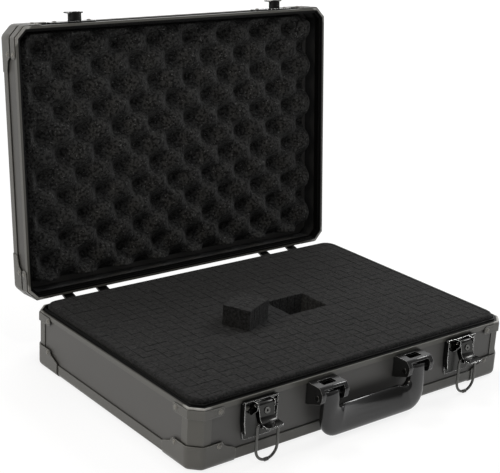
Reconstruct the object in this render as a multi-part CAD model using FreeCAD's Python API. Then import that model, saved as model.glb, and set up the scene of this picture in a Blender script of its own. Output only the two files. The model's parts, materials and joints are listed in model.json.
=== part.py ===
# Hard carrying case: panels in aluminium edge strips, a hinged lid, two toggle latches and a handle.
# X runs along the width, Y towards the hinges and Z up from the table, from the middle of the base.
import FreeCAD, Part
import math
import os

Vector = FreeCAD.Vector

# Case outside, in millimetres, closed and lying flat
case_width = 419.1
case_depth = 292.1
base_height = 64.0
lid_height = 34.0
corner_chamfer = 11.0
parting_gap = 0.3
lid_open_angle = 95.3
overrun = 30.0
same_point = 1.0e-6

# Boards and the edge strips that hold them
board_thickness = 3.0
strip_wall = 1.5
base_strip_flange = 12.8
lid_strip_flange = 10.8
strip_shelf = 16.0
strip_round = 4.0
post_leg = 20.0
post_step = 0.6
lining_thickness = 0.8

# Rim strips: an outer band, a web over the board's edge, an inner leg and the base's tongue
rim_band = 5.0
rim_web = 3.0
rim_leg = 6.0
tongue_height = 2.0
tongue_side_gap = 0.3
tongue_top_gap = 0.5

# Corner caps, pressed from sheet over each outer corner
cap_wall = 1.2
cap_round = 6.6
cap_bend = 8.0
cap_inner_round = 3.5
cap_reach = 48.0
cap_foot_width = 19.0
cap_rivet_from_corner = 28.8
cap_lobe = 4.6
lobe_round_share = 0.8
base_cap_height = 25.5
base_cap_rivet_height = 22.0
base_cap_skirt = 15.6
lid_cap_height = 20.4
lid_cap_rivet_height = 16.4
lid_cap_skirt = 13.2

# Rim brackets, bent plates round each corner below the rim
bracket_wall = 1.0
bracket_drop = 1.2
bracket_rivet_from_corner = 28.8
bracket_rivet_drop = 6.8
bracket_lobe = 4.4
bracket_end_round = 3.2

# Rivets
rivet_head_radius = 2.7
rivet_head_height = 1.1
rivet_crown_share = 0.55
rivet_shank_radius = 1.5
rivet_hole_clearance = 0.1

# Foam and its clearance from hard pieces
soft_clearance = 0.3
foam_crown = 3.0
foam_edge_round = 3.5
dice_pitch = 10.8
dice_depth = 24.0
pocket_columns = 5
pocket_rows = 4
pocket_left = 3.0
pocket_front = -24.0
block_columns = 4
block_rows = 3
block_centre_x = -49.6
block_centre_y = -13.5
block_turn = 24.0
lid_foam_slab = 6.0
lid_foam_crest_gap = 6.0
crest_pitch_x = 48.6
crest_pitch_y = 46.5
crest_start_x = -6.0
crest_start_y = 17.5
crest_foot_radius = 15.6
crest_shoulder_radius = 12.4
crest_tip_radius = 5.0
crest_shoulder_share = 0.62
crest_sides = 8
crest_turn_share = 0.5

# Hinges: leaves on the back boards, jogged out to knuckles behind the case
hinge_from_side = 71.55
hinge_width = 56.0
hinge_arm_width = 13.0
hinge_setback = 6.5
hinge_drop = 5.0
hinge_wall = 1.8
hinge_knuckle_radius = 3.2
hinge_pin_radius = 1.6
hinge_pin_overhang = 0.8
hinge_end_gap = 0.4
base_leaf_height = 25.0
base_leaf_drop = 1.6
lid_leaf_height = 12.8
lid_leaf_rise = 12.0
jog_run = 4.5
leaf_rivet_edge = 9.0
pin_clearance = 0.05

# Latches: a riveted plate with two cheeks, a lever on a cross pin, a lock plug and a wire bail
latch_from_side = 73.55
latch_plate_width = 40.0
latch_plate_foot_width = 34.0
latch_plate_low = 20.0
latch_plate_shoulder = 40.0
latch_plate_top_gap = 0.5
latch_plate_wall = 1.5
latch_plate_corner = 2.5
latch_lip_reach = 5.0
latch_side_wall = 1.2
latch_lip_rise = 1.9
latch_rivet_edge = 6.0
latch_rivet_drop = 6.3
cheek_wall = 1.4
cheek_gap = 0.3
cheek_foot_drop = 12.0
cheek_lobe = 3.4
lever_pivot_out = 9.0
lever_pivot_drop = 6.5
lever_pin_radius = 1.3
lever_knuckle_radius = 2.6
lever_width = 18.0
lever_wall = 1.4
lever_flare_radius = 6.6
lever_flare_drop = 10.9
lever_flare_angle = 75.0
lever_lip_run = 8.0
lever_lip_width = 21.0
lever_lip_round = 4.0
lever_ajar_angle = 12.0
ear_lobe = 3.2
ear_reach = 5.0
lock_drop = 6.0
lock_head_radius = 3.3
lock_head_height = 0.8
lock_shank_radius = 2.3
lock_cam_length = 5.0
lock_cam_width = 2.6
lock_cam_wall = 1.0
key_hole_radius = 1.1
key_hole_depth = 1.6
bail_pivot_out = 2.6
bail_pivot_drop = 17.9
bail_wire_radius = 1.4
bail_half_width = 12.75
bail_bend = 3.0
bail_length = 38.0
bail_bead_radius = 1.9
bail_bead_length = 4.0
bail_end_inside = 1.0

# Keepers on the lid: a riveted plate with an upturned hook
keeper_width = 55.0
keeper_height = 12.6
keeper_rise = 6.6
keeper_plate_wall = 3.0
keeper_wall = 1.5
keeper_corner = 3.0
keeper_hook_width = 17.0
keeper_hook_reach = 11.5
keeper_lip_height = 5.6
keeper_lip_round = 2.5
keeper_rivet_edge = 6.5
bail_hooked_lean = 9.0
bail_seat_gap = 0.35

# Handle, its two brackets and their pins
handle_spacing = 117.0
handle_bracket_width = 34.6
handle_bracket_wall = 5.0
handle_bracket_reach = 22.0
handle_bracket_low = 37.0
handle_bracket_top = 60.2
handle_bracket_roof = 2.5
handle_bracket_back = 1.5
handle_window_width = 17.0
handle_window_depth = 9.5
handle_window_front = 4.0
handle_pin_out = 15.0
handle_pin_height = 49.0
handle_pin_radius = 2.0
handle_pin_head_radius = 3.0
handle_pin_head_height = 0.9
handle_barrel_radius = 5.0
handle_arm_width = 20.0
handle_front_out = 21.0
handle_back_out = 8.0
handle_low = 3.0
handle_grip_height = 30.0
handle_slope_low = 12.0
handle_slope_depth = 7.0
handle_outer_round = 19.0
handle_inner_round = 7.0
handle_edge_round = 4.5
handle_shoulder_height = 38.0

# Insets of the shell's layers from the outer outline, and heights that follow from them
chamfer_share = 2.0 - math.sqrt(2.0)
board_outer = strip_wall
board_inner = board_outer + board_thickness
leg_inner = board_inner + strip_wall
floor_low = cap_wall + strip_wall
floor_top = floor_low + board_thickness
half_width = case_width / 2
half_depth = case_depth / 2
hinge_spacing = case_width - 2 * hinge_from_side
latch_spacing = case_width - 2 * latch_from_side
lid_rim_web = tongue_height + tongue_top_gap + strip_wall
lid_low = base_height + parting_gap
closed_height = lid_low + lid_height
hinge_axis = Vector(0, half_depth + hinge_setback, base_height - hinge_drop)
along_x = Vector(1, 0, 0)
along_y = Vector(0, 1, 0)
along_z = Vector(0, 0, 1)
outward = Vector(0, -1, 0)
rearward = Vector(0, 1, 0)
origin = Vector(0, 0, 0)


# Plain shapes
def plan(point):
    """Outline point seen from above."""
    return Vector(point.x, point.y, 0)


def front_view(point):
    """Outline point seen from the front: across and up."""
    return Vector(point.x, 0, point.y)


def side_view(point):
    """Outline point seen from the side: back and up."""
    return Vector(0, point.x, point.y)


def out_from_front(point):
    """Section point on the front: distance out from the front face, and height."""
    return Vector(0, -half_depth - point.x, point.y)


def out_from_back(point):
    """Section point on the back: distance out from the back face, and height."""
    return Vector(0, half_depth + point.x, point.y)


def in_from_left(point):
    """Section point on the left side: distance in from the side face, and height."""
    return Vector(-half_width + point.x, 0, point.y)


def rounded_face(corners, place):
    """Face inside a closed outline whose corners are (a, b, radius)."""
    count = len(corners)
    turns = []
    for number in range(count):
        a, b, radius = corners[number]
        here = Vector(a, b, 0)
        before = Vector(corners[number - 1][0], corners[number - 1][1], 0) - here
        after_corner = corners[(number + 1) % count]
        after = Vector(after_corner[0], after_corner[1], 0) - here
        before.normalize()
        after.normalize()
        if radius == 0:
            turns.append((here, None, here))
            continue
        half_angle = before.getAngle(after) / 2
        reach = radius / math.tan(half_angle)
        bisector = before + after
        bisector.normalize()
        centre = here + bisector * (radius / math.sin(half_angle))
        turns.append((here + before * reach, centre - bisector * radius, here + after * reach))
    edges = []
    for number in range(count):
        start, middle, end = turns[number]
        if middle is not None:
            edges.append(Part.Arc(place(start), place(middle), place(end)).toShape())
        following = turns[(number + 1) % count][0]
        if (following - end).Length > same_point:
            edges.append(Part.LineSegment(place(end), place(following)).toShape())
    return Part.Face(Part.Wire(edges))


def sharp(points):
    """Corners with no rounding."""
    return [(a, b, 0) for a, b in points]


def across(corners, place, low, high):
    """Section pushed along X from low to high."""
    face = rounded_face(corners, place)
    face.translate(along_x * low)
    return face.extrude(along_x * (high - low))


def box(low_x, high_x, low_y, high_y, low_z, high_z):
    """Block between two corners."""
    return Part.makeBox(high_x - low_x, high_y - low_y, high_z - low_z, Vector(low_x, low_y, low_z))


def fused(shapes):
    """One solid from shapes that overlap or share faces."""
    whole = shapes[0].multiFuse(shapes[1:]).removeSplitter()
    return whole.Solids[0] if len(whole.Solids) == 1 else whole


def outline(inset):
    """Corners of the case in plan, a rectangle with chamfered corners, moved in by inset."""
    x = half_width - inset
    y = half_depth - inset
    cut = corner_chamfer - inset * chamfer_share
    quarter = [(x - cut, y), (x, y - cut)]
    right = [(a, -b) for a, b in quarter] + [(a, b) for a, b in reversed(quarter)]
    return right + [(-a, -b) for a, b in right]


def prism(inset, low, high):
    """Full block inside the outline at an inset."""
    face = rounded_face(sharp(outline(inset)), plan)
    face.translate(along_z * low)
    return face.extrude(along_z * (high - low))


def hoop(outer_inset, inner_inset, low, high):
    """Wall between two insets, all the way round."""
    core = prism(inner_inset, low - overrun, high + overrun)
    return prism(outer_inset, low, high).cut(core)


def mirrored_x(shape):
    """Copy on the other side of the case's middle, left to right."""
    return shape.mirror(origin, along_x)


def mirrored_y(shape):
    """Copy on the other side of the case's middle, front to back."""
    return shape.mirror(origin, along_y)


def four_corners(shape):
    """The front-left piece and its copies at the other corners."""
    front = [shape, mirrored_x(shape)]
    return front + [mirrored_y(piece) for piece in front]


def solids_of(shapes):
    """Separate solids kept as one group."""
    return Part.makeCompound([solid for shape in shapes for solid in shape.Solids])


def rivet(seat, out, grip):
    """Rivet with a low crowned head on its seat and a shank through what it holds."""
    crown_radius = rivet_head_radius * rivet_crown_share
    head = Part.makeCone(rivet_head_radius, crown_radius, rivet_head_height, seat, out)
    shank = Part.makeCylinder(rivet_shank_radius, grip, seat, out * -1)
    return head.fuse(shank).removeSplitter()


def drilled(shape, rivets):
    """Shape with clearance holes for rivets given as (seat, out, grip)."""
    radius = rivet_shank_radius + rivet_hole_clearance
    for seat, out, grip in rivets:
        hole = Part.makeCylinder(radius, grip + overrun, seat + out * overrun, out * -1)
        shape = shape.cut(hole)
    return shape


# Boards, strips, posts and lining of one half, built with its outer face at the bottom
def boards(height, web, rivets):
    """The floor board and four wall boards that stand on it."""
    top = height - web
    long_wall = box(post_leg - half_width, half_width - post_leg,
                    board_outer - half_depth, board_inner - half_depth, floor_top, top)
    side_wall = box(board_outer - half_width, board_inner - half_width,
                    post_leg - half_depth, half_depth - post_leg, floor_top, top)
    walls = {"front": long_wall, "back": mirrored_y(long_wall),
             "left": side_wall, "right": mirrored_x(side_wall)}
    pieces = {side + "_board": drilled(wall, rivets) for side, wall in walls.items()}
    pieces["floor_board"] = prism(board_outer, floor_low, floor_top)
    return pieces


def edge_strips(flange):
    """Angle strips with a rounded outer corner along the four outer edges."""
    corners = [(0, cap_wall + flange, 0), (0, cap_wall, strip_round), (strip_shelf, cap_wall, 0),
               (strip_shelf, floor_low, 0), (strip_wall, floor_low, 0),
               (strip_wall, cap_wall + flange, 0)]
    inward = [(-inset, height, radius) for inset, height, radius in corners]
    front = across(inward, out_from_front, post_leg - half_width, half_width - post_leg)
    face = rounded_face(corners, in_from_left)
    face.translate(along_y * (post_leg - half_depth))
    left = face.extrude(along_y * (case_depth - 2 * post_leg))
    return {"front_edge": front, "back_edge": mirrored_y(front),
            "left_edge": left, "right_edge": mirrored_x(left)}


def corner_posts(height, web):
    """Chamfered posts that close the four upright corners between the boards."""
    shoulder = height - rim_band
    ring = fused([hoop(post_step, board_inner, floor_top, shoulder),
                  hoop(board_outer, board_inner, shoulder, height - web)])
    corner = box(-half_width, post_leg - half_width, -half_depth, post_leg - half_depth, 0, height)
    return solids_of(four_corners(ring.common(corner)))


def wings(corners):
    """Room under an outline drawn from the front-left corner, on the front and on the side alike."""
    front = rounded_face([(a - half_width, b, r) for a, b, r in corners], front_view)
    front.translate(along_y * -case_depth)
    side = rounded_face([(a - half_depth, b, r) for a, b, r in corners], side_view)
    side.translate(along_x * -case_width)
    return front.extrude(along_y * 2 * case_depth).common(side.extrude(along_x * 2 * case_width))


def corner_caps(height, rivet_height, skirt, rivets):
    """Three-way pressed caps, rounded at each outer corner, with a rivet lobe on each wing."""
    def block(inset, low, high, bend, rounding):
        body = prism(inset, low, high)
        upright = [e for e in body.Edges if abs(e.BoundBox.ZLength - (high - low)) < same_point]
        body = body.makeFillet(bend, upright)
        foot = [e for e in body.Edges if e.BoundBox.ZMax - low < same_point]
        return body.makeFillet(rounding, foot)

    shell = block(-cap_wall, 0, height + overrun, cap_bend, cap_round)
    shell = shell.cut(block(0, cap_wall, height + 2 * overrun, cap_bend - cap_wall, cap_inner_round))
    lobe_top = rivet_height + cap_lobe
    lobe_end = cap_rivet_from_corner + cap_lobe
    wing = [(-overrun, -overrun, 0), (cap_reach, -overrun, 0), (cap_reach, skirt, cap_wall),
            (lobe_end, rivet_height, cap_lobe), (lobe_end, lobe_top, cap_lobe * lobe_round_share),
            (cap_rivet_from_corner - cap_lobe, lobe_top, cap_lobe),
            (corner_chamfer, height, cap_lobe), (-overrun, height, 0)]
    far = cap_reach + overrun
    foot = [(-overrun, -overrun), (far, -overrun), (far, cap_foot_width), (cap_reach, cap_foot_width),
            (cap_foot_width, cap_reach), (cap_foot_width, far), (-overrun, far)]
    sole = rounded_face(sharp([(a - half_width, b - half_depth) for a, b in foot]), plan)
    sole.translate(along_z * -overrun)
    sole = sole.extrude(along_z * (height + 2 * overrun))
    cap = drilled(shell.common(wings(wing)).common(sole), rivets)
    return solids_of(four_corners(cap))


def rim_brackets(height, rivets):
    """Bent bands round the corners, just below the rim, with a rounded end at each rivet."""
    high = height - bracket_drop
    rivet_height = height - bracket_rivet_drop
    low = rivet_height - bracket_lobe
    end = bracket_rivet_from_corner + bracket_lobe
    wing = [(-overrun, low, 0), (end, low, bracket_end_round),
            (end, rivet_height + bracket_lobe, bracket_end_round), (-overrun, high, 0)]
    plate = hoop(-bracket_wall, 0, low, high).common(wings(wing))
    return solids_of(four_corners(drilled(plate, rivets)))


def corner_rivets(from_corner, height, proud):
    """Places of the two rivets at the front-left corner, as (seat, out, grip)."""
    grip = proud + board_inner
    front_seat = Vector(from_corner - half_width, -half_depth - proud, height)
    side_seat = Vector(-half_width - proud, from_corner - half_depth, height)
    return [(front_seat, outward, grip), (side_seat, along_x * -1, grip)]


def all_corners(places):
    """Rivet places copied to the four corners."""
    copies = []
    for turn_x in (1, -1):
        for turn_y in (1, -1):
            for seat, out, grip in places:
                copy_seat = Vector(seat.x * turn_x, seat.y * turn_y, seat.z)
                copy_out = Vector(out.x * turn_x, out.y * turn_y, out.z)
                copies.append((copy_seat, copy_out, grip))
    return copies


def half_shell(height, web, flange, cap_height, cap_rivet_height, cap_skirt, more_rivets):
    """Every sheet and board of one half; more_rivets are those of the hardware on its walls."""
    cap_places = corner_rivets(cap_rivet_from_corner, cap_rivet_height, cap_wall)
    bracket_places = corner_rivets(bracket_rivet_from_corner, height - bracket_rivet_drop, bracket_wall)
    places = all_corners(cap_places + bracket_places)
    pieces = boards(height, web, places + more_rivets)
    pieces.update(edge_strips(flange))
    pieces["corner_posts"] = corner_posts(height, web)
    pieces["corner_caps"] = corner_caps(cap_height, cap_rivet_height, cap_skirt, cap_places)
    pieces["rim_brackets"] = rim_brackets(height, bracket_places)
    pieces["rivets"] = solids_of([rivet(*place) for place in places])
    leg_low = height - web - rim_leg
    pieces["lining"] = hoop(board_inner, board_inner + lining_thickness, floor_top, leg_low)
    return pieces


# Rivets of the hardware, as (seat, out, grip); the heads sit on the plate, the shanks end in the board
def hardware_rivets(spacing, half_pitch, height, proud, out):
    """Two rivets on each of a left and right fitting."""
    wall_y = out.y * (half_depth - board_outer + proud)
    places = []
    for side in (-1, 1):
        for step in (-1, 1):
            seat = Vector(side * spacing / 2 + step * half_pitch, wall_y, height)
            places.append((seat, out, proud + board_thickness))
    return places


latch_plate_top = base_height - rim_band - latch_plate_top_gap
latch_rivet_height = latch_plate_top - latch_rivet_drop
latch_places = hardware_rivets(latch_spacing, latch_plate_width / 2 - latch_rivet_edge,
                               latch_rivet_height, latch_plate_wall, outward)
handle_rivet_height = (handle_bracket_low + handle_pin_height - handle_barrel_radius) / 2
handle_rivet_pitch = (handle_bracket_width - 2 * handle_bracket_wall) / 4
handle_places = hardware_rivets(handle_spacing, handle_rivet_pitch, handle_rivet_height,
                                handle_bracket_back, outward)
base_leaf_top = base_height - rim_band - base_leaf_drop
base_leaf_rivet_height = base_leaf_top - base_leaf_height + leaf_rivet_edge
leaf_half_pitch = hinge_width / 2 - leaf_rivet_edge
base_leaf_places = hardware_rivets(hinge_spacing, leaf_half_pitch, base_leaf_rivet_height,
                                   hinge_wall, rearward)
lid_leaf_low = base_height - hinge_drop + lid_leaf_rise
lid_leaf_rivet_height = lid_leaf_low + (jog_run + lid_leaf_height) / 2
lid_leaf_places = hardware_rivets(hinge_spacing, leaf_half_pitch, lid_leaf_rivet_height,
                                  hinge_wall, rearward)
keeper_low = lid_low + keeper_rise
keeper_rivet_height = keeper_low + keeper_height / 2
keeper_places = hardware_rivets(latch_spacing, keeper_width / 2 - keeper_rivet_edge,
                                keeper_rivet_height, keeper_plate_wall, outward)


def turned_over(shape):
    """Shape built with its outer face down, mirrored to lie on the closed base as the lid."""
    return shape.mirror(Vector(0, 0, closed_height / 2), along_z)


def turned_over_places(places):
    """Rivet places of the closed lid, given for the lid as it is built, outer face down."""
    return [(Vector(seat.x, seat.y, closed_height - seat.z), out, grip) for seat, out, grip in places]


# The two halves
base = half_shell(base_height, rim_web, base_strip_flange, base_cap_height, base_cap_rivet_height,
                  base_cap_skirt, latch_places + handle_places + base_leaf_places)
base["rim"] = fused([
    hoop(0, board_outer, base_height - rim_band, base_height),
    hoop(0, board_inner, base_height - rim_web, base_height),
    hoop(board_inner, leg_inner, base_height - rim_web - rim_leg, base_height + tongue_height),
])
hardware_places = latch_places + handle_places + base_leaf_places
base["hardware_rivets"] = solids_of([rivet(*place) for place in hardware_places])

lid_built = half_shell(lid_height, lid_rim_web, lid_strip_flange, lid_cap_height, lid_cap_rivet_height,
                       lid_cap_skirt, turned_over_places(lid_leaf_places + keeper_places))
web_low = lid_height - lid_rim_web
lid_built["rim"] = fused([
    hoop(0, board_outer, lid_height - rim_band, lid_height),
    hoop(0, leg_inner, web_low, web_low + strip_wall),
    hoop(0, board_inner - tongue_side_gap, web_low, lid_height),
    hoop(board_inner, leg_inner, web_low - rim_leg, web_low + strip_wall),
])
lid = {name: turned_over(shape) for name, shape in lid_built.items()}
lid["hardware_rivets"] = solids_of([rivet(*place) for place in lid_leaf_places + keeper_places])

# Foam in the base: a flat pad under a diced layer with a plucked pocket
foam_inset = leg_inner + soft_clearance
foam_low = floor_top + soft_clearance
foam_top = base_height + foam_crown
dice_low = foam_top - dice_depth
base["foam_pad"] = prism(foam_inset, foam_low, dice_low - soft_clearance)
layer = prism(foam_inset, dice_low, foam_top)
top_edges = [e for e in layer.Edges if foam_top - e.BoundBox.ZMin < same_point]
layer = layer.makeFillet(foam_edge_round, top_edges)
pocket_right = pocket_left + pocket_columns * dice_pitch
pocket_back = pocket_front + pocket_rows * dice_pitch
base["diced_foam"] = layer.cut(box(pocket_left, pocket_right, pocket_front, pocket_back,
                                   dice_low - overrun, foam_top + overrun))
block_length = block_columns * dice_pitch
block_width = block_rows * dice_pitch
block_low = foam_top + soft_clearance
block = box(-block_length / 2, block_length / 2, -block_width / 2, block_width / 2,
            block_low, block_low + dice_depth)
block.rotate(origin, along_z, block_turn)
block.translate(Vector(block_centre_x, block_centre_y, 0))
base["plucked_foam_block"] = block


# Foam in the lid: a slab with staggered rows of rounded crests
def crest(centre_x, centre_y, root, tip):
    """One crest: a many-sided bump that narrows to a blunt tip."""
    rise = tip - root
    levels = [(crest_foot_radius, root), (crest_shoulder_radius, root + rise * crest_shoulder_share),
              (crest_tip_radius, tip)]
    rings = []
    for radius, height in levels:
        points = []
        for side in range(crest_sides):
            angle = 2 * math.pi * (side + crest_turn_share) / crest_sides
            points.append(Vector(centre_x + radius * math.cos(angle),
                                 centre_y + radius * math.sin(angle), height))
        rings.append(points)
    faces = [Part.Face(Part.makePolygon(ring + ring[:1])) for ring in (rings[0], rings[-1])]
    for lower, upper in zip(rings, rings[1:]):
        for side in range(crest_sides):
            panel = [lower[side - 1], lower[side], upper[side], upper[side - 1], lower[side - 1]]
            faces.append(Part.Face(Part.makePolygon(panel)))
    return Part.makeSolid(Part.makeShell(faces))


lid_foam_inset = leg_inner + soft_clearance
lid_foam_root = closed_height - floor_top - soft_clearance
slab_face = lid_foam_root - lid_foam_slab
crest_tip = foam_top + lid_foam_crest_gap
lid_slab = prism(lid_foam_inset, slab_face, lid_foam_root)
crest_reach_x = half_width - lid_foam_inset
crest_reach_y = half_depth - lid_foam_inset
crest_columns = int(crest_reach_x / crest_pitch_x) + 2
crest_rows = int(2 * crest_reach_y / crest_pitch_y) + 2
crests = []
for row in range(-crest_rows, crest_rows + 1):
    stagger = (row % 2) / 2
    for column in range(-crest_columns, crest_columns + 1):
        centre_x = crest_start_x + (column + stagger) * crest_pitch_x
        centre_y = crest_start_y + row * crest_pitch_y / 2
        if abs(centre_x) < crest_reach_x and abs(centre_y) < crest_reach_y:
            crests.append(crest(centre_x, centre_y, slab_face, crest_tip))
lid_room = prism(lid_foam_inset, crest_tip - overrun, lid_foam_root)
inside_crests = [shape.common(lid_room) for shape in crests]
lid["crested_foam"] = fused([lid_slab] + inside_crests)


# Hinges: the base leaf carries the middle knuckle, the lid leaf the two end knuckles
def hinge(centre_x):
    """Base leaf, lid leaf and pin of one hinge."""
    left = centre_x - hinge_width / 2
    right = centre_x + hinge_width / 2
    inner_left = left + hinge_arm_width
    inner_right = right - hinge_arm_width
    axis_height = base_height - hinge_drop
    back = -board_outer
    face = hinge_wall - board_outer
    reach = hinge_setback

    def knuckle(low, high):
        place = Vector(low, half_depth + reach, axis_height)
        return Part.makeCylinder(hinge_knuckle_radius, high - low, place, along_x)

    base_jog = [(back, base_leaf_top - jog_run), (face, base_leaf_top - jog_run - hinge_wall),
                (reach, axis_height - hinge_knuckle_radius), (reach, axis_height),
                (reach - hinge_wall, axis_height), (face, base_leaf_top), (back, base_leaf_top)]
    base_leaf = fused([
        across(sharp([(back, base_leaf_top - base_leaf_height), (face, base_leaf_top - base_leaf_height),
                      (face, base_leaf_top), (back, base_leaf_top)]), out_from_back, left, right),
        across(sharp(base_jog), out_from_back, inner_left + hinge_end_gap, inner_right - hinge_end_gap),
        knuckle(inner_left + hinge_end_gap, inner_right - hinge_end_gap),
    ])
    lid_jog = [(back, lid_leaf_low), (face, lid_leaf_low), (reach - hinge_wall, axis_height),
               (reach, axis_height), (reach, axis_height + hinge_knuckle_radius),
               (face, lid_leaf_low + jog_run), (back, lid_leaf_low + jog_run)]
    arms = []
    for low, high in ((left, inner_left - hinge_end_gap), (inner_right + hinge_end_gap, right)):
        arms.append(across(sharp(lid_jog), out_from_back, low, high))
        arms.append(knuckle(low, high))
    lid_high = lid_leaf_low + lid_leaf_height
    plate = across(sharp([(back, lid_leaf_low), (face, lid_leaf_low), (face, lid_high), (back, lid_high)]),
                   out_from_back, left, right)
    lid_leaf = fused([plate] + arms)
    pin_start = Vector(left - hinge_pin_overhang, half_depth + reach, axis_height)
    pin_length = hinge_width + 2 * hinge_pin_overhang
    pin = Part.makeCylinder(hinge_pin_radius, pin_length, pin_start, along_x)
    bore = Part.makeCylinder(hinge_pin_radius + pin_clearance, pin_length, pin_start, along_x)
    return (drilled(base_leaf.cut(bore), base_leaf_places),
            drilled(lid_leaf.cut(bore), lid_leaf_places), pin)


# Latches
lever_pivot_height = base_height - lever_pivot_drop
lever_face = lever_pivot_out + lever_knuckle_radius
flare_centre_out = lever_face + lever_flare_radius
flare_centre_height = lever_pivot_height - lever_flare_drop
bail_pivot_closed_out = lever_pivot_out + bail_pivot_out
bail_pivot_closed_height = lever_pivot_height - bail_pivot_drop


def ajar(shape, centre_x):
    """Lever piece swung open on its pivot by the angle that it stands ajar."""
    shape.rotate(Vector(centre_x, -half_depth - lever_pivot_out, lever_pivot_height),
                 along_x, -lever_ajar_angle)
    return shape


def flare_point(radius, angle):
    """Point on the curve from the lever's face into its thumb lip."""
    turn = math.radians(angle)
    return (flare_centre_out - radius * math.cos(turn), flare_centre_height - radius * math.sin(turn))


def latch_plate(centre_x):
    """Riveted tray: a plate with raised sides, a lip at its top and two cheeks for the lever's pin."""
    half = latch_plate_width / 2
    foot = latch_plate_foot_width / 2

    def tray(inset, low, depth):
        corners = [(centre_x - foot + inset, low, latch_plate_corner),
                   (centre_x + foot - inset, low, latch_plate_corner),
                   (centre_x + half - inset, latch_plate_shoulder, latch_plate_corner),
                   (centre_x + half - inset, latch_plate_top, 0), (centre_x - half + inset, latch_plate_top, 0),
                   (centre_x - half + inset, latch_plate_shoulder, latch_plate_corner)]
        sheet = rounded_face(corners, front_view)
        sheet.translate(along_y * (board_outer - half_depth))
        return sheet.extrude(outward * depth)

    raised = tray(0, latch_plate_low, board_outer + latch_lip_reach)
    raised = raised.cut(tray(latch_side_wall, latch_plate_low - overrun, 2 * overrun))
    sheet = fused([tray(0, latch_plate_low, latch_plate_wall), raised])
    face = latch_plate_wall - board_outer
    lip_top = latch_plate_top + latch_plate_top_gap + latch_lip_rise
    clear = face + latch_plate_top_gap
    lip = [(face - latch_plate_wall, latch_plate_top - 2 * latch_plate_wall, 0),
           (face, latch_plate_top - 2 * latch_plate_wall, 0),
           (clear + latch_plate_wall, latch_plate_top - latch_plate_wall, 0),
           (clear + latch_plate_wall, lip_top - latch_plate_wall, 0),
           (latch_lip_reach, lip_top - latch_plate_wall, 0), (latch_lip_reach, lip_top, 0),
           (clear, lip_top, latch_plate_wall), (clear, latch_plate_top, 0),
           (face - latch_plate_wall, latch_plate_top, 0)]
    pieces = [sheet, across(lip, out_from_front, centre_x - half, centre_x + half)]
    tip = lever_pivot_out + cheek_lobe
    cheek = [(face - latch_plate_wall, lever_pivot_height - cheek_foot_drop, 0),
             (face + cheek_lobe, lever_pivot_height - cheek_foot_drop, cheek_lobe),
             (tip, lever_pivot_height - cheek_lobe, cheek_lobe),
             (tip, lever_pivot_height + cheek_lobe, cheek_lobe - cap_wall),
             (clear, lever_pivot_height + cheek_lobe, 0), (clear, latch_plate_top, 0),
             (face - latch_plate_wall, latch_plate_top, 0)]
    inner = lever_width / 2 + cheek_gap
    for side in (-1, 1):
        low = centre_x + min(side * inner, side * (inner + cheek_wall))
        pieces.append(across(cheek, out_from_front, low, low + cheek_wall))
    plate = fused(pieces).cut(lever_bore(centre_x))
    return drilled(plate, latch_places)


def lever_bore(centre_x):
    """Room for the lever's pin through the cheeks and the lever."""
    start = Vector(centre_x - latch_plate_width / 2, -half_depth - lever_pivot_out, lever_pivot_height)
    return Part.makeCylinder(lever_pin_radius + pin_clearance, latch_plate_width, start, along_x)


def latch_pin(centre_x):
    """Cross pin of the lever, as long as the cheeks are apart outside."""
    length = lever_width + 2 * (cheek_gap + cheek_wall)
    start = Vector(centre_x - length / 2, -half_depth - lever_pivot_out, lever_pivot_height)
    return Part.makeCylinder(lever_pin_radius, length, start, along_x)


def lock_place(centre_x):
    """Centre of the lock on the closed lever's face."""
    return Vector(centre_x, -half_depth - lever_face, lever_pivot_height - lock_drop)


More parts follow.
